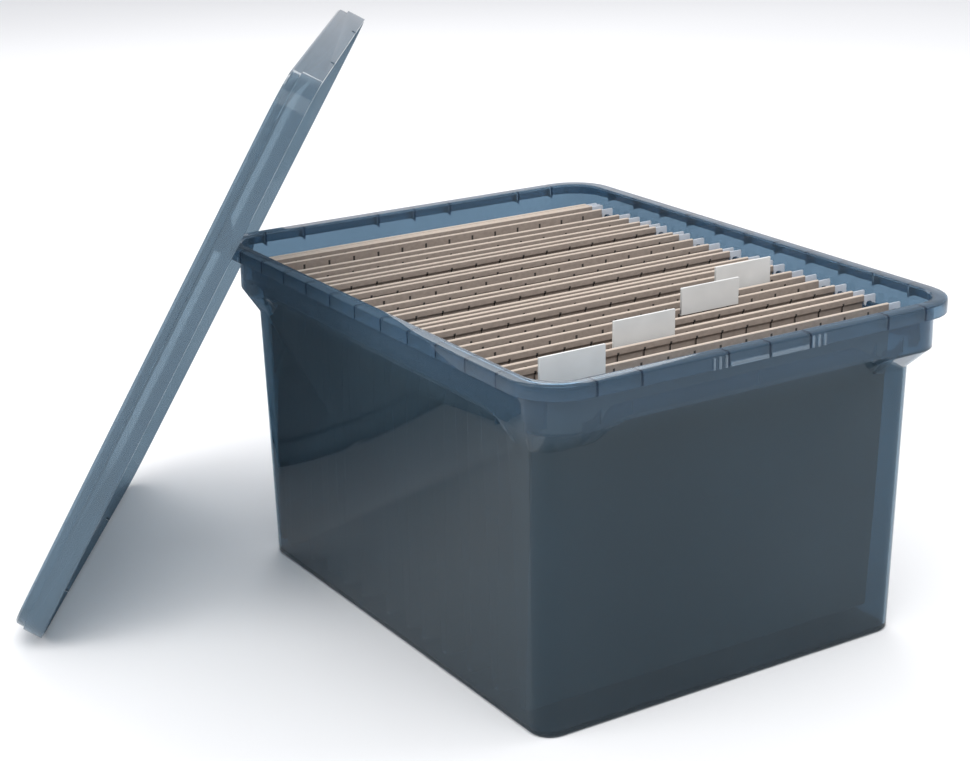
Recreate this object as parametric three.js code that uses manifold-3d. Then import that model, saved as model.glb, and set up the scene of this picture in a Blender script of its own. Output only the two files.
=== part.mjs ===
// Plastic file tote with its lid leaned on the back left corner and thirteen hanging folders.
// Millimetres, +Z up, floor at z = 0, front at -Y. The origin is the middle of the tote's base.
import * as THREE from 'three';
import Module from 'manifold-3d';

const wasm = await Module();
wasm.setup();
const { Manifold } = wasm;

// hanging folder rods: their length sets the rails, the card and the tote's width
const ROD_LENGTH = 327;
const ROD_THICK = 0.9;
const ROD_TALL = 3.4;
const HOOK_TALL = 8.2;
const HOOK_REACH = 6.1;
const CARD_SHORT = 24;

// tote, outside sizes
const RIM_WIDTH = ROD_LENGTH + 31;
const RIM_LENGTH = 465;
const TOTE_HEIGHT = 258;
const BASE_WIDTH = RIM_WIDTH - 44;
const BASE_LENGTH = RIM_LENGTH - 67;
const WALL_DRAFT = 0.0186;
const WALL = 2.2;
const RIM_RADIUS = 36;
const BASE_RADIUS = 16;
const LIP_OVERHANG = 9;
const LIP_DEPTH = 10;
const LEDGE_DROP = 33.6;
const POCKET_DROP = 53.5;
const SHOULDER_DROP = 36;

// hook rails along the two long sides
const RAIL_X = ROD_LENGTH / 2 - HOOK_REACH;
const RAIL_THICK = 2.4;
const RAIL_DROP = 17.3;

// lid
const LID_FIT = 0.4;
const LID_WALL = 2.2;
const LID_LENGTH = RIM_LENGTH + 2 * (LID_WALL + LID_FIT);
const LID_WIDTH = RIM_WIDTH + 2 * (LID_WALL + LID_FIT);
const LID_DEPTH = 22.5;
const LID_RECESS = 6;
const LID_BEAD = 11;
const LID_YAW = 34.7;
const LID_TILT = 28.8;
const LID_REACH = 209;

// hanging folders
const FOLDER_WIDTH = ROD_LENGTH - CARD_SHORT;
const CARD = 0.5;
const FLAP_TOP_DROP = 11.4;
const FOLDER_BOTTOM = 10;
const SLOT_PITCH = 22;
const SLOT_TALL = 8;
// back and front rod of each folder, placed for a base 398 long and spread with its length
const FOLDER_Y = [
  [190.9, 186.2], [182.2, 168.1], [142.9, 129.5], [113.6, 101.2], [92.2, 69.4],
  [61.4, 43.1], [22.9, 5.7], [-3.3, -25.7], [-33.4, -41.5], [-55.1, -76.5],
  [-91.5, -106.5], [-124.2, -143.5], [-155, -180.5],
].map((pair) => pair.map((y) => (y * BASE_LENGTH) / 398));

// index tabs on the front flaps of the last folders: left ends, back to front, on card 303 wide
const TAB_LENGTH = 51.5;
const TAB_TALL = 20;
const TAB_RISE = 15.5;
const TAB_THICK = 1.7;
const TAB_LEFT = [77, 22.5, -63, -147.5].map((x) => (x * FOLDER_WIDTH) / 303);

const GAP = 0.3;
const CORNER_STEPS = 7;

const toteMat = new THREE.MeshStandardMaterial({
  name: 'smoke_blue_plastic', color: 0x4a6078, roughness: 0.3, transparent: true, opacity: 0.62,
});
const cardMat = new THREE.MeshStandardMaterial({ name: 'taupe_card', color: 0xb3a294, roughness: 0.9 });
const rodMat = new THREE.MeshStandardMaterial({
  name: 'white_coated_steel', color: 0xe4e8ee, roughness: 0.4,
});
const tabMat = new THREE.MeshStandardMaterial({
  name: 'white_tab_plastic', color: 0xe9e9e6, roughness: 0.35,
});
const insertMat = new THREE.MeshStandardMaterial({
  name: 'white_insert_paper', color: 0xf3f2ee, roughness: 0.9,
});

const part = new THREE.Group();
part.name = 'plastic_file_tote';

function solidFrom(points, faces) {
  const mesh = new wasm.Mesh({
    numProp: 3,
    vertProperties: new Float32Array(points.flat()),
    triVerts: new Uint32Array(faces.flat()),
  });
  return new Manifold(mesh);
}

function addMesh(name, solid, material) {
  const mesh = solid.getMesh();
  const geometry = new THREE.BufferGeometry();
  const positions = new Float32Array(mesh.numVert * 3);
  for (let i = 0; i < mesh.numVert; i++) {
    for (let k = 0; k < 3; k++) positions[i * 3 + k] = mesh.vertProperties[i * mesh.numProp + k];
  }
  geometry.setAttribute('position', new THREE.BufferAttribute(positions, 3));
  geometry.setIndex(new THREE.BufferAttribute(new Uint32Array(mesh.triVerts), 1));
  geometry.computeVertexNormals();
  const node = new THREE.Mesh(geometry, material);
  node.name = name;
  part.add(node);
}

// closed skin through equal rings of points, with a flat fan at the first and the last ring
function loft(rings) {
  const count = rings[0].length;
  const points = rings.flat();
  const faces = [];
  for (let r = 0; r + 1 < rings.length; r++) {
    for (let i = 0; i < count; i++) {
      const j = (i + 1) % count;
      const a = r * count + i;
      const b = r * count + j;
      faces.push([a, b, b + count], [a, b + count, a + count]);
    }
  }
  const middle = (ring) => [0, 1, 2].map((k) => ring.reduce((s, p) => s + p[k], 0) / count);
  const last = rings.length - 1;
  const low = points.length;
  points.push(middle(rings[0]), middle(rings[last]));
  for (let i = 0; i < count; i++) {
    const j = (i + 1) % count;
    faces.push([low, j, i], [low + 1, last * count + i, last * count + j]);
  }
  return solidFrom(points, faces);
}

// rounded rectangle, counter-clockwise, with the same number of points at any size;
// alongX and alongY are the extra points on half of a straight side
function ringPoints(halfX, halfY, radius, alongX, alongY) {
  const out = [];
  const spots = (list) => [...list.map((v) => -v).reverse(), ...list];
  const corner = (cx, cy, start) => {
    for (let i = 0; i <= CORNER_STEPS; i++) {
      const angle = (start + (90 * i) / CORNER_STEPS) * (Math.PI / 180);
      out.push([cx + radius * Math.cos(angle), cy + radius * Math.sin(angle), 1]);
    }
  };
  const inX = halfX - radius;
  const inY = halfY - radius;
  for (const s of spots(alongX)) out.push([s, -halfY, 'x']);
  corner(inX, -inY, 270);
  for (const s of spots(alongY)) out.push([halfX, s, 'y']);
  corner(inX, inY, 0);
  for (const s of spots(alongX)) out.push([-s, halfY, 'x']);
  corner(-inX, inY, 90);
  for (const s of spots(alongY)) out.push([-halfX, -s, 'y']);
  corner(-inX, -inY, 180);
  return out;
}

function smooth(t) {
  const c = Math.min(1, Math.max(0, t));
  return c * c * (3 - 2 * c);
}

function box(x0, x1, y0, y1, z0, z1) {
  return Manifold.cube([x1 - x0, y1 - y0, z1 - z0]).translate([x0, y0, z0]);
}

// outline in (y, z) swept along X
function sweepX(outline, x0, x1) {
  const turn = [0, 1, 0, 0, 0, 0, 1, 0, 1, 0, 0, 0, x0, 0, 0, 1];
  return Manifold.extrude(outline, x1 - x0).transform(turn);
}

// outline in (x, z) swept along Y
function sweepY(outline, y0, y1) {
  const turn = [1, 0, 0, 0, 0, 0, 1, 0, 0, -1, 0, 0, 0, y1, 0, 1];
  return Manifold.extrude(outline, y1 - y0).transform(turn);
}

// ---- tote body
const straightX = RIM_WIDTH / 2 - RIM_RADIUS;
const straightY = RIM_LENGTH / 2 - RIM_RADIUS;
const stepX = [0.73, 0.765, 0.8, 0.84].map((f) => f * straightX);
const stepY = [0.75, 0.785, 0.82, 0.855, 0.89].map((f) => f * straightY);
const ring = (halfX, halfY, radius) => ringPoints(halfX, halfY, radius, stepX, stepY);
const pocketShare = ring(RIM_WIDTH / 2, RIM_LENGTH / 2, RIM_RADIUS).map((p) => {
  if (p[2] === 'x') return smooth((Math.abs(p[0]) - stepX[0]) / (stepX[3] - stepX[0]));
  if (p[2] === 'y') return smooth((Math.abs(p[1]) - stepY[0]) / (stepY[4] - stepY[0]));
  return 1;
});
const ledgeZ = TOTE_HEIGHT - LEDGE_DROP;
const lowOuter = pocketShare.map((c) => ledgeZ - 1.6 + c * (LEDGE_DROP + 1.6 - POCKET_DROP));
const highOuter = pocketShare.map((c) => ledgeZ + c * (LEDGE_DROP - SHOULDER_DROP));

function rimRing(inset, z) {
  return ring(RIM_WIDTH / 2 - inset, RIM_LENGTH / 2 - inset, RIM_RADIUS - inset)
    .map((p, i) => [p[0], p[1], Array.isArray(z) ? z[i] : z]);
}

function wallRing(inset, z) {
  const count = pocketShare.length;
  const out = [];
  for (let i = 0; i < count; i++) {
    const level = Array.isArray(z) ? z[i] : z;
    const grow = level * WALL_DRAFT - inset;
    const p = ring(BASE_WIDTH / 2 + grow, BASE_LENGTH / 2 + grow, BASE_RADIUS - inset)[i];
    out.push([p[0], p[1], level]);
  }
  return out;
}

const shoulderOuter = rimRing(LIP_OVERHANG, highOuter);
const ledgeOuter = wallRing(0, lowOuter);
const lift = shoulderOuter.map((p, i) => {
  const run = Math.hypot(p[0] - ledgeOuter[i][0], p[1] - ledgeOuter[i][1]);
  const slope = (highOuter[i] - lowOuter[i]) / run;
  return WALL * (Math.sqrt(1 + slope * slope) - slope);
});
const innerShoulder = LIP_OVERHANG + WALL;
let tote = loft([
  wallRing(1.6, 0),
  wallRing(0, 1.8),
  ledgeOuter,
  shoulderOuter,
  rimRing(LIP_OVERHANG, TOTE_HEIGHT - WALL),
  rimRing(WALL, TOTE_HEIGHT - WALL),
  rimRing(WALL - 0.2, TOTE_HEIGHT - LIP_DEPTH),
  rimRing(0, TOTE_HEIGHT - LIP_DEPTH),
  rimRing(0, TOTE_HEIGHT - 1.6),
  rimRing(0.5, TOTE_HEIGHT - 0.5),
  rimRing(1.6, TOTE_HEIGHT),
  rimRing(innerShoulder - 1.2, TOTE_HEIGHT),
  rimRing(innerShoulder, TOTE_HEIGHT - 1.2),
  rimRing(innerShoulder, highOuter.map((z, i) => z + lift[i])),
  wallRing(WALL, lowOuter.map((z, i) => z + lift[i])),
  wallRing(WALL, WALL + 2.4),
  wallRing(WALL + 2.2, WALL),
]);

// stiffening ribs under the lip
const lipParts = [];
const ribTop = TOTE_HEIGHT - WALL + 0.6;
const ribLow = TOTE_HEIGHT - LIP_DEPTH + 0.5;
const ribIn = LIP_OVERHANG + 0.7;
const ribOut = WALL - 0.9;
for (let i = -5; i <= 5; i++) {
  const y = (i * straightY) / 5.4;
  for (const s of [-1, 1]) {
    const a = s * (RIM_WIDTH / 2 - ribIn);
    const b = s * (RIM_WIDTH / 2 - ribOut);
    lipParts.push(box(Math.min(a, b), Math.max(a, b), y - 0.7, y + 0.7, ribLow, ribTop));
  }
}
for (const f of [-0.96, -0.72, -0.24, 0, 0.24, 0.72, 0.96]) {
  const x = f * straightX;
  for (const s of [-1, 1]) {
    const a = s * (RIM_LENGTH / 2 - ribIn);
    const b = s * (RIM_LENGTH / 2 - ribOut);
    lipParts.push(box(x - 0.7, x + 0.7, Math.min(a, b), Math.max(a, b), ribLow, ribTop));
  }
}

// grip marks on the lip, middle of both short sides
for (const s of [-1, 1]) {
  const face = s * (RIM_LENGTH / 2);
  const y0 = Math.min(face - s, face + s * 0.9);
  const y1 = Math.max(face - s, face + s * 0.9);
  for (const x of [36.5, 41.5, 46.5]) {
    for (const t of [-1, 1]) {
      lipParts.push(box(t * x - 0.8, t * x + 0.8, y0, y1, TOTE_HEIGHT - LIP_DEPTH, TOTE_HEIGHT - 2.4));
    }
  }
  for (const t of [-1, 1]) {
    const a = t * 1.6;
    const b = t * 32.5;
    lipParts.push(box(
      Math.min(a, b), Math.max(a, b), y0, y1,
      TOTE_HEIGHT - LIP_DEPTH, TOTE_HEIGHT - LIP_DEPTH + 2.8,
    ));
  }
}

// hook rails with their shelf and end gussets
const railTop = TOTE_HEIGHT - RAIL_DROP;
const railEnd = RIM_LENGTH / 2 - 27;
const shelfZ = ledgeZ + 1;
for (const s of [-1, 1]) {
  const inX = RAIL_X - RAIL_THICK / 2;
  const outX = RAIL_X + RAIL_THICK / 2;
  const reachX = BASE_WIDTH / 2 + ledgeZ * WALL_DRAFT - 0.6;
  const side = (a, b, y0, y1, z0, z1) => box(Math.min(s * a, s * b), Math.max(s * a, s * b), y0, y1, z0, z1);
  lipParts.push(side(inX, outX, -railEnd, railEnd, shelfZ - 2, railTop));
  lipParts.push(side(inX, reachX, -railEnd, railEnd, shelfZ - 2, shelfZ + 0.4));
  for (const y of [-0.96 * railEnd, -0.8 * railEnd, 0.8 * railEnd, 0.96 * railEnd]) {
    const wallX = RIM_WIDTH / 2 - innerShoulder + 0.8 - (Math.abs(y) > 0.9 * railEnd ? 1.6 : 0);
    lipParts.push(side(inX + 0.4, wallX, y - 0.7, y + 0.7, shelfZ - 9, shelfZ + 4));
  }
  for (let i = -3; i <= 3; i++) {
    const y = (i * railEnd) / 4.4;
    const reach = RIM_WIDTH / 2 - innerShoulder + 0.8;
    lipParts.push(side(RAIL_X, reach, y - 0.7, y + 0.7, shelfZ - 1, shelfZ + 5));
  }
}

// small gussets at the foot of the short shoulder walls, larger ones at the pocket ends
const footY = RIM_LENGTH / 2 - innerShoulder;
const wallInY = BASE_LENGTH / 2 + ledgeZ * WALL_DRAFT - WALL;
for (const s of [-1, 1]) {
  const gusset = (x, outline) => {
    const placed = outline.map((p) => [s * p[0], p[1]]);
    if (s < 0) placed.reverse();
    lipParts.push(sweepX([placed], x - 0.7, x + 0.7));
  };
  for (const f of [-0.36, 0, 0.36]) {
    gusset(f * 2 * straightX, [
      [footY - 5, ledgeZ + 0.6], [footY + 1, ledgeZ + 0.6], [footY + 1, ledgeZ + 14],
      [footY - 1.2, ledgeZ + 10], [footY - 2.4, ledgeZ + 5],
    ]);
  }
  for (const t of [-1, 1]) {
    gusset(t * 0.89 * straightX, [
      [wallInY - 0.4, ledgeZ - 16], [wallInY + 1.2, ledgeZ - 17], [footY + 0.8, ledgeZ + 1.5],
      [footY + 0.8, ledgeZ + 14], [footY - 2, ledgeZ + 8], [footY - 8, ledgeZ + 1], [wallInY + 2, ledgeZ - 3],
    ]);
  }
}
tote = Manifold.union([tote, ...lipParts]);
addMesh('tote_body', tote, toteMat);

// ---- lid, built flat in its own frame: first axis its length, second its width, third its depth
const lidMid = [LID_LENGTH / 2, LID_WIDTH / 2];
function lidRing(inset, n) {
  return ringPoints(lidMid[0] - inset, lidMid[1] - inset, RIM_RADIUS + 2.5 - inset, [], [])
    .map((p) => [p[0] + lidMid[0], p[1] + lidMid[1], n]);
}
const panelTop = LID_DEPTH - LID_RECESS;
const panelUnder = panelTop - LID_WALL;
let lid = loft([
  lidRing(LID_BEAD + 4 + LID_WALL, panelUnder),
  lidRing(LID_BEAD + 1.2, LID_DEPTH - LID_WALL),
  lidRing(4.4, LID_DEPTH - LID_WALL),
  lidRing(LID_WALL + 0.1, panelUnder),
  lidRing(LID_WALL, 0),
  lidRing(0, 0),
  lidRing(0.2, panelUnder + 0.6),
  lidRing(2, panelUnder + 1.2),
  lidRing(2.2, LID_DEPTH - 1.4),
  lidRing(3.8, LID_DEPTH),
  lidRing(LID_BEAD + 2, LID_DEPTH),
  lidRing(LID_BEAD + 5, panelTop),
]);
const windows = [];
for (const a of [LID_LENGTH * 0.25, LID_LENGTH * 0.75]) {
  windows.push(box(a - 2.5, a + 2.5, -1, LID_WIDTH + 1, -1, 3));
}
for (const b of [LID_WIDTH * 0.3, LID_WIDTH * 0.7]) {
  windows.push(box(-1, LID_LENGTH + 1, b - 2.5, b + 2.5, -1, 3));
}
lid = lid.subtract(Manifold.union(windows));
const stiffeners = [];
for (const b of [0.28, 0.72]) {
  stiffeners.push(box(
    60, LID_LENGTH - 60, LID_WIDTH * b - 0.8, LID_WIDTH * b + 0.8, panelTop - 0.4, panelTop + 1.2,
  ));
}
for (const a of [0.16, 0.84]) {
  stiffeners.push(box(
    LID_LENGTH * a - 0.8, LID_LENGTH * a + 0.8, 60, LID_WIDTH - 60, panelTop - 0.4, panelTop + 1.2,
  ));
}
lid = Manifold.union([lid, ...stiffeners]);

// the lid stands on the floor and its panel rests on the tote's back left rim corner
const yaw = LID_YAW * (Math.PI / 180);
const tilt = LID_TILT * (Math.PI / 180);
const floorDir = [Math.sin(yaw), Math.cos(yaw), 0];
const sideDir = [Math.cos(yaw), -Math.sin(yaw), 0];
const upDir = [Math.sin(tilt) * sideDir[0], Math.sin(tilt) * sideDir[1], Math.cos(tilt)];
const outDir = [-Math.cos(tilt) * sideDir[0], -Math.cos(tilt) * sideDir[1], Math.sin(tilt)];
const dot = (a, b) => a[0] * b[0] + a[1] * b[1] + a[2] * b[2];
const rimPoints = [rimRing(0, TOTE_HEIGHT - 1.6), rimRing(0.5, TOTE_HEIGHT - 0.5), rimRing(1.6, TOTE_HEIGHT)];
let touch = rimPoints[0][0];
for (const p of rimPoints.flat()) {
  if (dot(p, outDir) > dot(touch, outDir)) touch = p;
}
const sideAt = (panelUnder - GAP - dot(touch, outDir)) / Math.cos(tilt);
const floorAt = dot(touch, floorDir) - LID_REACH;
const lidCorner = [0, 1].map((k) => sideDir[k] * sideAt + floorDir[k] * floorAt);
lid = lid.transform([
  upDir[0], upDir[1], upDir[2], 0,
  floorDir[0], floorDir[1], floorDir[2], 0,
  outDir[0], outDir[1], outDir[2], 0,
  lidCorner[0], lidCorner[1], 0, 1,
]);
addMesh('lid', lid, toteMat);

// ---- hanging folders with their rods
const flapTop = TOTE_HEIGHT - FLAP_TOP_DROP;
const rodTop = flapTop - CARD - GAP;
const rodLow = rodTop - ROD_TALL;
const pocketLow = rodLow - GAP;
const pocketHalf = ROD_THICK / 2 + GAP;
const flapHalf = pocketHalf + CARD;
const foldLow = pocketLow - 16;

function folderSolid(yBack, yFront) {
  const mid = (yBack + yFront) / 2;
  const half = (yBack - yFront) / 2;
  const bottom = Math.min(3.2, half * 0.6 + 0.6);
  const lean = (t) => bottom + (half + flapHalf - bottom) * t ** 0.85;
  const side = [
    [bottom, FOLDER_BOTTOM],
    [lean(0.4), FOLDER_BOTTOM + (foldLow - FOLDER_BOTTOM) * 0.4],
    [half + flapHalf, foldLow],
    [half + flapHalf, flapTop - 0.6],
    [half + flapHalf - 0.6, flapTop],
    [half - flapHalf + 0.6, flapTop],
    [half - flapHalf, flapTop - 0.6],
    [half - flapHalf, pocketLow],
    [half + flapHalf - 2 * CARD, pocketLow - 2],
    [half + flapHalf - 2 * CARD, foldLow + 1.5],
    [half + flapHalf - CARD, foldLow],
    [lean(0.4) - CARD, FOLDER_BOTTOM + (foldLow - FOLDER_BOTTOM) * 0.4],
    [bottom - CARD * 0.8, FOLDER_BOTTOM + CARD],
  ];
  const right = side.map((p) => [mid + p[0], p[1]]);
  const left = side.map((p) => [mid - p[0], p[1]]).reverse();
  const pocket = (centre) => [
    [centre - pocketHalf, pocketLow], [centre - pocketHalf, rodTop + GAP],
    [centre + pocketHalf, rodTop + GAP], [centre + pocketHalf, pocketLow],
  ];
  const outline = [[...right, ...left], pocket(mid + half), pocket(mid - half)];
  return sweepX(outline, -FOLDER_WIDTH / 2, FOLDER_WIDTH / 2);
}

function rodSolid(y) {
  const end = ROD_LENGTH / 2;
  const notchIn = RAIL_X - RAIL_THICK / 2 - 1.3;
  const notchOut = RAIL_X + RAIL_THICK / 2 + 1.1;
  const notchTop = railTop + GAP;
  const hookLow = rodTop - HOOK_TALL;
  const neck = FOLDER_WIDTH / 2 + 0.8;
  const half = [
    [neck, rodLow], [neck + 0.6, hookLow + 1], [notchIn - 0.4, hookLow], [notchIn, notchTop - 1],
    [notchIn + 0.8, notchTop], [notchOut - 0.8, notchTop], [notchOut, notchTop - 1],
    [notchOut + 0.2, hookLow], [end, hookLow + 0.6], [end, rodTop - 0.8], [end - 0.8, rodTop],
  ];
  const outline = [...half, ...half.map((p) => [-p[0], p[1]]).reverse()];
  return sweepY([outline], y - ROD_THICK / 2, y + ROD_THICK / 2);
}

const slotTop = pocketLow - 0.6;
FOLDER_Y.forEach(([yBack, yFront], i) => {
  const number = String(i + 1).padStart(2, '0');
  let folder = folderSolid(yBack, yFront);
  const slots = [];
  for (let k = -6; k <= 6; k++) {
    const x = k * SLOT_PITCH;
    slots.push(box(x - 0.6, x + 0.6, (yFront + yBack) / 2, yBack + 4, slotTop - SLOT_TALL, slotTop));
  }
  folder = folder.subtract(Manifold.union(slots));
  addMesh(`folder_${number}`, folder, cardMat);
  addMesh(`rod_${number}_back`, rodSolid(yBack), rodMat);
  addMesh(`rod_${number}_front`, rodSolid(yFront), rodMat);
});

// ---- index tabs in front of the front flaps, each with a paper insert
TAB_LEFT.forEach((x0, i) => {
  const flapY = FOLDER_Y[FOLDER_Y.length - TAB_LEFT.length + i][1];
  const back = flapY - flapHalf - GAP;
  const front = back - TAB_THICK;
  const high = flapTop + TAB_RISE;
  const low = high - TAB_TALL;
  const x1 = x0 + TAB_LENGTH;
  const mid = (front + back) / 2;
  const slit = TAB_THICK / 2 - 0.42;
  const sleeve = box(x0, x1, front, back, low, high);
  const tab = sleeve.subtract(box(x0 - 1, x1 + 1, mid - slit, mid + slit, low + 1, high - 0.8));
  addMesh(`tab_${i + 1}`, tab, tabMat);
  const half = slit - GAP;
  const paper = box(x0 + 0.4, x1 - 0.4, mid - half, mid + half, low + 1 + GAP, high - 0.8 - GAP);
  addMesh(`tab_insert_${i + 1}`, paper, insertMat);
});

export default part;
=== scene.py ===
import math
import bpy
import bmesh
from mathutils import Matrix, Vector


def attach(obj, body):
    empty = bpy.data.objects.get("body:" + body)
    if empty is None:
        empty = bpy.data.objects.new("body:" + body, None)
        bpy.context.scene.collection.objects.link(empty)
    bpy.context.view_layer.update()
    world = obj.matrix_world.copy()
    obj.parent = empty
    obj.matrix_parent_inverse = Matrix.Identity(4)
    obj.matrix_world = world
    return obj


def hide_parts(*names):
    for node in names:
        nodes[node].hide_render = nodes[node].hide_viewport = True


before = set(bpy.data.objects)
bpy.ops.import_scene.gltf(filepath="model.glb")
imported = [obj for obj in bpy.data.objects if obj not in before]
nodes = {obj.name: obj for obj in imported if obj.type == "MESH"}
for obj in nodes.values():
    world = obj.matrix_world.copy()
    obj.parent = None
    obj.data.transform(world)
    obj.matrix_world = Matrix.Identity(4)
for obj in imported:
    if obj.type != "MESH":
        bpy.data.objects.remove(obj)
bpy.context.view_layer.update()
scene = bpy.context.scene
print("frame loaded")


# small helpers for the node trees

def nodeTree(name):
    material = bpy.data.materials.new(name)
    material.use_nodes = True
    tree = material.node_tree
    return material, tree, tree.nodes["Principled BSDF"]


def linkNoise(tree, scale, detail, stretch=(1, 1, 1)):
    coords = tree.nodes.new("ShaderNodeTexCoord")
    mapping = tree.nodes.new("ShaderNodeMapping")
    mapping.inputs["Scale"].default_value = stretch
    noise = tree.nodes.new("ShaderNodeTexNoise")
    noise.inputs["Scale"].default_value = scale
    noise.inputs["Detail"].default_value = detail
    tree.links.new(coords.outputs["Object"], mapping.inputs["Vector"])
    tree.links.new(mapping.outputs["Vector"], noise.inputs["Vector"])
    return noise


def ramp(tree, source, low, high, lowColor, highColor):
    node = tree.nodes.new("ShaderNodeValToRGB")
    node.color_ramp.elements[0].position = low
    node.color_ramp.elements[1].position = high
    node.color_ramp.elements[0].color = (*lowColor, 1)
    node.color_ramp.elements[1].color = (*highColor, 1)
    tree.links.new(source, node.inputs["Fac"])
    return node


# a darker and a lighter tone on either side of a colour
shadeSpread = 0.08


def shades(color):
    darker = tuple(channel * (1 - shadeSpread) for channel in color)
    lighter = tuple(channel * (1 + shadeSpread) for channel in color)
    return darker, lighter


def objectAxis(tree, axis):
    coords = tree.nodes.new("ShaderNodeTexCoord")
    parts = tree.nodes.new("ShaderNodeSeparateXYZ")
    tree.links.new(coords.outputs["Object"], parts.inputs["Vector"])
    return parts.outputs[axis]


def mapRange(tree, source, low, high, lowValue=0.0, highValue=1.0):
    node = tree.nodes.new("ShaderNodeMapRange")
    node.inputs["From Min"].default_value = low
    node.inputs["From Max"].default_value = high
    node.inputs["To Min"].default_value = lowValue
    node.inputs["To Max"].default_value = highValue
    tree.links.new(source, node.inputs["Value"])
    return node.outputs["Result"]


# the second colour is painted over the first by the factor
def paintOver(tree, factor, first, color):
    node = tree.nodes.new("ShaderNodeMix")
    node.data_type = "RGBA"
    tree.links.new(factor, node.inputs["Factor"])
    tree.links.new(first, node.inputs["A"])
    if isinstance(color, tuple):
        node.inputs["B"].default_value = (*color, 1)
    else:
        tree.links.new(color, node.inputs["B"])
    return node.outputs["Result"]


def calc(tree, operation, *values):
    node = tree.nodes.new("ShaderNodeMath")
    node.operation = operation
    for index, value in enumerate(values):
        if isinstance(value, (int, float)):
            node.inputs[index].default_value = value
        else:
            tree.links.new(value, node.inputs[index])
    return node.outputs["Value"]


def allOf(tree, *factors):
    result = factors[0]
    for factor in factors[1:]:
        result = calc(tree, "MULTIPLY", result, factor)
    return result


# thin lines at every whole multiple of the pitch
def rowOfLines(tree, source, pitch, half):
    return calc(tree, "LESS_THAN", calc(tree, "PINGPONG", source, pitch / 2), half)


# a plain finish with a faint cloud of two tones
def cloudFinish(name, look):
    material, tree, shader = nodeTree(name)
    noise = linkNoise(tree, look["noise"], look["detail"])
    tint = ramp(
        tree, noise.outputs["Fac"], look["cloudFrom"], look["cloudTo"], look["low"], look["high"],
    )
    tree.links.new(tint.outputs["Color"], shader.inputs["Base Color"])
    shader.inputs["Roughness"].default_value = look["roughness"]
    return material


# metres and degrees
meshing = {"weld": 1e-5, "flatAngle": 0.6, "smoothAngle": 32}


# a finished copy of a CAD node: joined vertices, smooth by angle, small bevel
def finishedCopy(nodeName, pieceName, material, bevel, segments=2, reshape=None):
    source = nodes[nodeName]
    mesh = source.data.copy()
    mesh.transform(source.matrix_world)
    if reshape:
        reshape(mesh)
    work = bmesh.new()
    work.from_mesh(mesh)
    bmesh.ops.remove_doubles(work, verts=work.verts, dist=meshing["weld"])
    flatAngle = math.radians(meshing["flatAngle"])
    bmesh.ops.dissolve_limit(work, angle_limit=flatAngle, verts=work.verts, edges=work.edges)
    limit = math.radians(meshing["smoothAngle"])
    for edge in work.edges:
        edge.smooth = len(edge.link_faces) == 2 and edge.calc_face_angle(0) < limit
    for face in work.faces:
        face.smooth = True
    work.to_mesh(mesh)
    work.free()
    mesh.name = pieceName
    piece = bpy.data.objects.new(pieceName, mesh)
    scene.collection.objects.link(piece)
    mesh.materials.clear()
    mesh.materials.append(material)
    if bevel > 0:
        modifier = piece.modifiers.new("edges", "BEVEL")
        modifier.width = bevel
        modifier.segments = segments
        modifier.limit_method = "ANGLE"
        modifier.angle_limit = limit
    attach(piece, "root")
    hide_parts(nodeName)
    return piece


# translucent plastic of the tote and the lid: linear colours, and heights and bevels in metres
plastic = {
    "wall": (0.145, 0.232, 0.30),
    "rim": (0.15, 0.245, 0.34),
    "lid": (0.215, 0.305, 0.38),
    "rimFrom": 0.205, "rimTo": 0.235,
    "clearWall": 0.89, "clearRim": 0.77, "clearLid": 0.66,
    "roughness": 0.05,
    "ior": 1.22,
    "coat": 0.14, "coatRoughness": 0.04,
    "noise": 5.0, "detail": 3.0, "cloudFrom": 0.3, "cloudTo": 0.7,
    "toteBevel": 0.0006, "lidBevel": 0.0,  # a bevel on the lid leaves slivers at its stiffeners
}

# painted shade along the ribs and painted highlights on the grip marks of the tote's lip, at the
# places they have in the solid
lip = {
    "ribShade": (0.03, 0.06, 0.11), "grip": (0.5, 0.62, 0.72),
    "ribHalf": 0.0009, "sidePitch": 0.03639, "sideReach": 0.185, "sideFrom": 0.168,
    "endPitch": 0.03432, "endReach": 0.140, "endFrom": 0.221,
    "endBare": 0.0686, "bareHalf": 0.005,
    "low": 0.2476, "top": 0.2562, "face": 0.2318,
    "gripMiddle": 0.0415, "gripSpan": 0.0058, "gripPitch": 0.005, "gripHalf": 0.0009,
    "stripMiddle": 0.01705, "stripSpan": 0.01545, "stripTop": 0.2510,
}


# painted shade: the ribs under the lip show through it as dark lines, painted into its colour
def paintedRibShade(tree):
    x, y, z = (objectAxis(tree, axis) for axis in "XYZ")
    wide = calc(tree, "ABSOLUTE", x)
    deep = calc(tree, "ABSOLUTE", y)
    sides = allOf(
        tree,
        rowOfLines(tree, y, lip["sidePitch"], lip["ribHalf"]),
        calc(tree, "LESS_THAN", deep, lip["sideReach"]),
        calc(tree, "GREATER_THAN", wide, lip["sideFrom"]),
    )
    bare = calc(tree, "COMPARE", wide, lip["endBare"], lip["bareHalf"])
    ends = allOf(
        tree,
        rowOfLines(tree, x, lip["endPitch"], lip["ribHalf"]),
        calc(tree, "LESS_THAN", wide, lip["endReach"]),
        calc(tree, "GREATER_THAN", deep, lip["endFrom"]),
        calc(tree, "SUBTRACT", 1.0, bare),
    )
    either = calc(tree, "MAXIMUM", sides, ends)
    return allOf(tree, either, calc(tree, "GREATER_THAN", z, lip["low"]))
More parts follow.
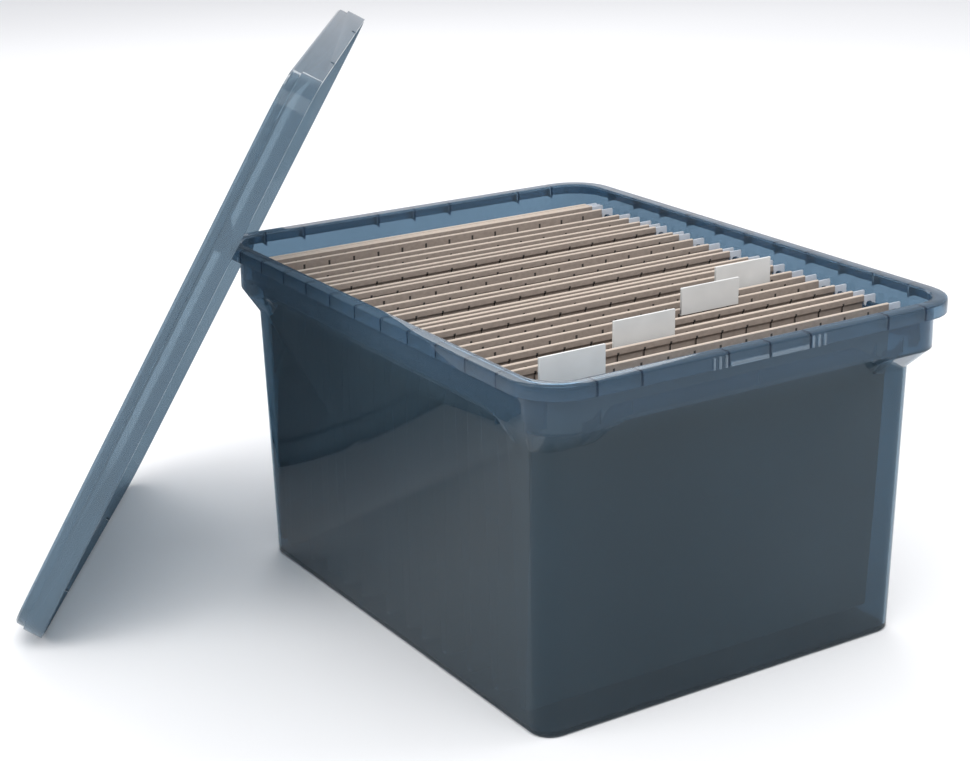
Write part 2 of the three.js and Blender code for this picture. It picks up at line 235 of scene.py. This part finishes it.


# painted highlight: the raised grip marks and the strip between them are painted lighter, where
# they catch the light
def gripFactor(tree):
    wide = calc(tree, "ABSOLUTE", objectAxis(tree, "X"))
    deep = calc(tree, "ABSOLUTE", objectAxis(tree, "Y"))
    z = objectAxis(tree, "Z")
    fromMiddle = calc(tree, "SUBTRACT", wide, lip["gripMiddle"])
    bars = allOf(
        tree,
        calc(tree, "COMPARE", wide, lip["gripMiddle"], lip["gripSpan"]),
        rowOfLines(tree, fromMiddle, lip["gripPitch"], lip["gripHalf"]),
    )
    strip = allOf(
        tree,
        calc(tree, "COMPARE", wide, lip["stripMiddle"], lip["stripSpan"]),
        calc(tree, "LESS_THAN", z, lip["stripTop"]),
    )
    return allOf(
        tree,
        calc(tree, "MAXIMUM", bars, strip),
        calc(tree, "GREATER_THAN", deep, lip["face"]),
        calc(tree, "GREATER_THAN", z, lip["low"]),
        calc(tree, "LESS_THAN", z, lip["top"]),
    )


def cloudOf(tree, noise, color):
    node = ramp(
        tree, noise.outputs["Fac"], plastic["cloudFrom"], plastic["cloudTo"], *shades(color),
    )
    return node.outputs["Color"]


def makePlastic(name, color, clear):
    material, tree, shader = nodeTree(name)
    noise = linkNoise(tree, plastic["noise"], plastic["detail"])
    tint = cloudOf(tree, noise, color)
    tree.links.new(tint, shader.inputs["Base Color"])
    shader.inputs["Transmission Weight"].default_value = clear
    shader.inputs["Roughness"].default_value = plastic["roughness"]
    shader.inputs["IOR"].default_value = plastic["ior"]
    shader.inputs["Coat Weight"].default_value = plastic["coat"]
    shader.inputs["Coat Roughness"].default_value = plastic["coatRoughness"]
    return material, tree, shader, noise, tint


# the tote turns bluer and less clear from the shoulder up, and the lip carries painted shade along
# its ribs and painted highlights on its grips
def makeTotePlastic():
    material, tree, shader, noise, tint = makePlastic(
        "totePlastic", plastic["wall"], plastic["clearWall"],
    )
    height = objectAxis(tree, "Z")
    rimShare = mapRange(tree, height, plastic["rimFrom"], plastic["rimTo"])
    color = paintOver(tree, rimShare, tint, cloudOf(tree, noise, plastic["rim"]))
    # painted shade along the ribs
    color = paintOver(tree, paintedRibShade(tree), color, lip["ribShade"])
    # painted highlights on the grips and the strip between them
    color = paintOver(tree, gripFactor(tree), color, lip["grip"])
    tree.links.new(color, shader.inputs["Base Color"])
    clearness = mapRange(
        tree, height, plastic["rimFrom"], plastic["rimTo"],
        plastic["clearWall"], plastic["clearRim"],
    )
    tree.links.new(clearness, shader.inputs["Transmission Weight"])
    return material


# how the lid leans, in degrees, and the notches in its long edges: places are shares of its
# length, the rest is in metres
lidFrame = {
    "yaw": 34.7, "tilt": 28.8, "notchDeep": 0.003, "notchHalf": 0.003,
    "notchPlaces": (0.25, 0.75), "tolerance": 0.0002, "snap": 0.0002,
}


# the photograph shows no notches in the lid's long edges, so the four there are closed: the
# ceiling of each moves out to the lid's free edge, and onto the corners that are there already
def closeLongNotches(mesh):
    yaw = math.radians(lidFrame["yaw"])
    tilt = math.radians(lidFrame["tilt"])
    side = Vector((math.cos(yaw), -math.sin(yaw), 0))
    along = Vector((0, 0, math.cos(tilt))) + side * math.sin(tilt)
    outward = Vector((0, 0, math.sin(tilt))) - side * math.cos(tilt)
    lengths = [along.dot(vertex.co) for vertex in mesh.vertices]
    heights = [outward.dot(vertex.co) for vertex in mesh.vertices]
    start, freeEdge = min(lengths), min(heights)
    span = max(lengths) - start
    middles = [start + share * span for share in lidFrame["notchPlaces"]]
    corners = []
    moved = []
    for vertex, place, height in zip(mesh.vertices, lengths, heights):
        above = height - freeEdge
        inCeiling = abs(above - lidFrame["notchDeep"]) < lidFrame["tolerance"]
        fromMiddle = min(abs(place - middle) for middle in middles)
        if above < lidFrame["tolerance"]:
            corners.append(vertex.co.copy())
        if inCeiling and fromMiddle < lidFrame["notchHalf"]:
            vertex.co -= outward * above
            moved.append(vertex)
    for vertex in moved:
        nearest = min(corners, key=lambda corner: (corner - vertex.co).length)
        if (nearest - vertex.co).length < lidFrame["snap"]:
            vertex.co = nearest
    mesh.update()


totePlastic = makeTotePlastic()
lidPlastic = makePlastic("lidPlastic", plastic["lid"], plastic["clearLid"])[0]
finishedCopy("tote_body", "toteBody", totePlastic, plastic["toteBevel"])
finishedCopy(
    "lid", "toteLid", lidPlastic, plastic["lidBevel"],
    reshape=closeLongNotches,
)
print("plastic done")

# folder card, with painted shade for the row of slots under the flap tops
card = {
    # the edge colour is a painted highlight on the card's upward-facing edges
    "face": (0.37, 0.305, 0.26), "edge": (0.66, 0.56, 0.47), "slotShade": (0.045, 0.038, 0.034),
    "slotPitch": 0.022, "slotHalf": 0.0009, "slotReach": 0.137,
    "slotMiddle": 0.2390, "slotHalfTall": 0.0043,
    "fibre": 260.0, "detail": 4.0, "stretch": (1, 1, 1.6), "cloudFrom": 0.35, "cloudTo": 0.65,
    "highlightFrom": 0.3, "highlightTo": 0.8,
    "roughness": 0.85, "bumpStrength": 0.15, "bumpDistance": 0.0002,
}


# fibrous card, with a painted highlight on its upward edges
def makeCard(name):
    material, tree, shader = nodeTree(name)
    fibre = linkNoise(tree, card["fibre"], card["detail"], card["stretch"])
    tint = ramp(
        tree, fibre.outputs["Fac"], card["cloudFrom"], card["cloudTo"], *shades(card["face"]),
    )
    geometry = tree.nodes.new("ShaderNodeNewGeometry")
    parts = tree.nodes.new("ShaderNodeSeparateXYZ")
    tree.links.new(geometry.outputs["Normal"], parts.inputs["Vector"])
    # painted highlight on the faces that look up
    paintedHighlightShare = mapRange(tree, parts.outputs["Z"], card["highlightFrom"], card["highlightTo"])
    color = paintOver(tree, paintedHighlightShare, tint.outputs["Color"], card["edge"])
    across = objectAxis(tree, "X")
    height = objectAxis(tree, "Z")
    # painted shade for the row of slots under the flap tops
    paintedSlotShade = allOf(
        tree,
        rowOfLines(tree, across, card["slotPitch"], card["slotHalf"]),
        calc(tree, "LESS_THAN", calc(tree, "ABSOLUTE", across), card["slotReach"]),
        calc(tree, "COMPARE", height, card["slotMiddle"], card["slotHalfTall"]),
    )
    color = paintOver(tree, paintedSlotShade, color, card["slotShade"])
    tree.links.new(color, shader.inputs["Base Color"])
    shader.inputs["Roughness"].default_value = card["roughness"]
    bump = tree.nodes.new("ShaderNodeBump")
    bump.inputs["Strength"].default_value = card["bumpStrength"]
    bump.inputs["Distance"].default_value = card["bumpDistance"]
    tree.links.new(fibre.outputs["Fac"], bump.inputs["Height"])
    tree.links.new(bump.outputs["Normal"], shader.inputs["Normal"])
    return material


rod = {
    "low": (0.74, 0.78, 0.84), "high": (0.86, 0.89, 0.94), "cloudFrom": 0.3, "cloudTo": 0.7,
    "noise": 120.0, "detail": 2.0, "roughness": 0.35, "bevel": 0.0002,
}
tab = {
    "low": (0.74, 0.74, 0.72), "high": (0.82, 0.82, 0.80), "cloudFrom": 0.3, "cloudTo": 0.7,
    "noise": 40.0, "detail": 2.0, "roughness": 0.3, "bevel": 0.0002,
}
insert = {
    "low": (0.80, 0.80, 0.77), "high": (0.86, 0.86, 0.83), "cloudFrom": 0.3, "cloudTo": 0.7,
    "noise": 300.0, "detail": 3.0, "roughness": 0.9,
}
taupeCard = makeCard("taupeCard")
rodCoat = cloudFinish("rodCoat", rod)
tabPlastic = cloudFinish("tabPlastic", tab)
insertPaper = cloudFinish("insertPaper", insert)

for name in sorted(nodes):
    if name.startswith("folder_"):
        finishedCopy(name, "card" + name[-2:], taupeCard, 0.0)
    elif name.startswith("rod_"):
        pieceName = "rod" + name[4:6] + name[7:].capitalize()
        finishedCopy(name, pieceName, rodCoat, rod["bevel"], segments=1)
    elif name.startswith("tab_insert_"):
        finishedCopy(name, "insert" + name[-1], insertPaper, 0.0)
    elif name.startswith("tab_"):
        pieceName = "tab" + name[-1]
        finishedCopy(name, pieceName, tabPlastic, tab["bevel"], segments=1)
print("folders done")

# pale floor, four soft lights and an even sky
floorLook = {
    "low": (0.92, 0.92, 0.92), "high": (0.95, 0.95, 0.95), "cloudFrom": 0.2, "cloudTo": 0.8,
    "noise": 1.2, "detail": 2.0, "roughness": 0.7, "reach": 30,
}
reach = floorLook["reach"]
floorMesh = bpy.data.meshes.new("floor")
floorMesh.from_pydata(
    [(-reach, -reach, 0), (reach, -reach, 0), (reach, reach, 0), (-reach, reach, 0)],
    [], [(0, 1, 2, 3)],
)
floorMesh.materials.append(cloudFinish("floorPale", floorLook))
floor = bpy.data.objects.new("floor", floorMesh)
scene.collection.objects.link(floor)

studio = {
    "keySoft": {"place": (-0.6, -1.2, 2.6), "aim": (0, 0, 0.1), "size": (2.2, 1.6), "power": 34},
    "leftSoft": {"place": (-2.4, 0.2, 1.3), "aim": (0, 0, 0.15), "size": (1.6, 1.4), "power": 22},
    "rightSoft": {"place": (2.2, -0.8, 1.5), "aim": (0, 0, 0.15), "size": (1.4, 1.4), "power": 16},
    "backSoft": {"place": (0.8, 2.4, 2.0), "aim": (0, 0, 0.2), "size": (2.4, 1.2), "power": 26},
}
sky = {"color": (0.95, 0.96, 1.0), "strength": 0.75}


def areaLight(name, look):
    data = bpy.data.lights.new(name, "AREA")
    data.shape = "RECTANGLE"
    data.size, data.size_y = look["size"]
    data.energy = look["power"]
    light = bpy.data.objects.new(name, data)
    scene.collection.objects.link(light)
    light.location = look["place"]
    toAim = Vector(look["aim"]) - Vector(look["place"])
    light.rotation_euler = toAim.to_track_quat("-Z", "Y").to_euler()


for name, look in studio.items():
    areaLight(name, look)

world = bpy.data.worlds.new("studio")
scene.world = world
world.use_nodes = True
background = world.node_tree.nodes["Background"]
background.inputs["Color"].default_value = (*sky["color"], 1)
background.inputs["Strength"].default_value = sky["strength"]

# camera fitted to the photograph's straight edges: degrees, pixels and metres
cameraFit = {
    "azimuth": 32.05, "elevation": 18.50, "roll": -1.00, "focalPixels": 1988.0,
    "place": (-0.8070, -1.1727, 0.6454), "imageWidth": 970, "sensorWidth": 36, "farthest": 50,
}


def placeCamera(fit):
    azimuth = math.radians(fit["azimuth"])
    elevation = math.radians(fit["elevation"])
    roll = math.radians(fit["roll"])
    ahead = Vector((
        math.sin(azimuth) * math.cos(elevation),
        math.cos(azimuth) * math.cos(elevation),
        -math.sin(elevation),
    ))
    level = Vector((math.cos(azimuth), -math.sin(azimuth), 0))
    upright = level.cross(ahead)
    right = math.cos(roll) * level + math.sin(roll) * upright
    up = -math.sin(roll) * level + math.cos(roll) * upright
    data = bpy.data.cameras.new("photoCamera")
    data.sensor_fit = "HORIZONTAL"
    data.sensor_width = fit["sensorWidth"]
    data.lens = fit["focalPixels"] / fit["imageWidth"] * fit["sensorWidth"]
    data.clip_end = fit["farthest"]
    camera = bpy.data.objects.new("photoCamera", data)
    scene.collection.objects.link(camera)
    turn = Matrix((right, up, -ahead)).transposed().to_4x4()
    camera.matrix_world = Matrix.Translation(Vector(fit["place"])) @ turn
    return camera


scene.camera = placeCamera(cameraFit)
scene.view_settings.view_transform = "Standard"
print("stage done")
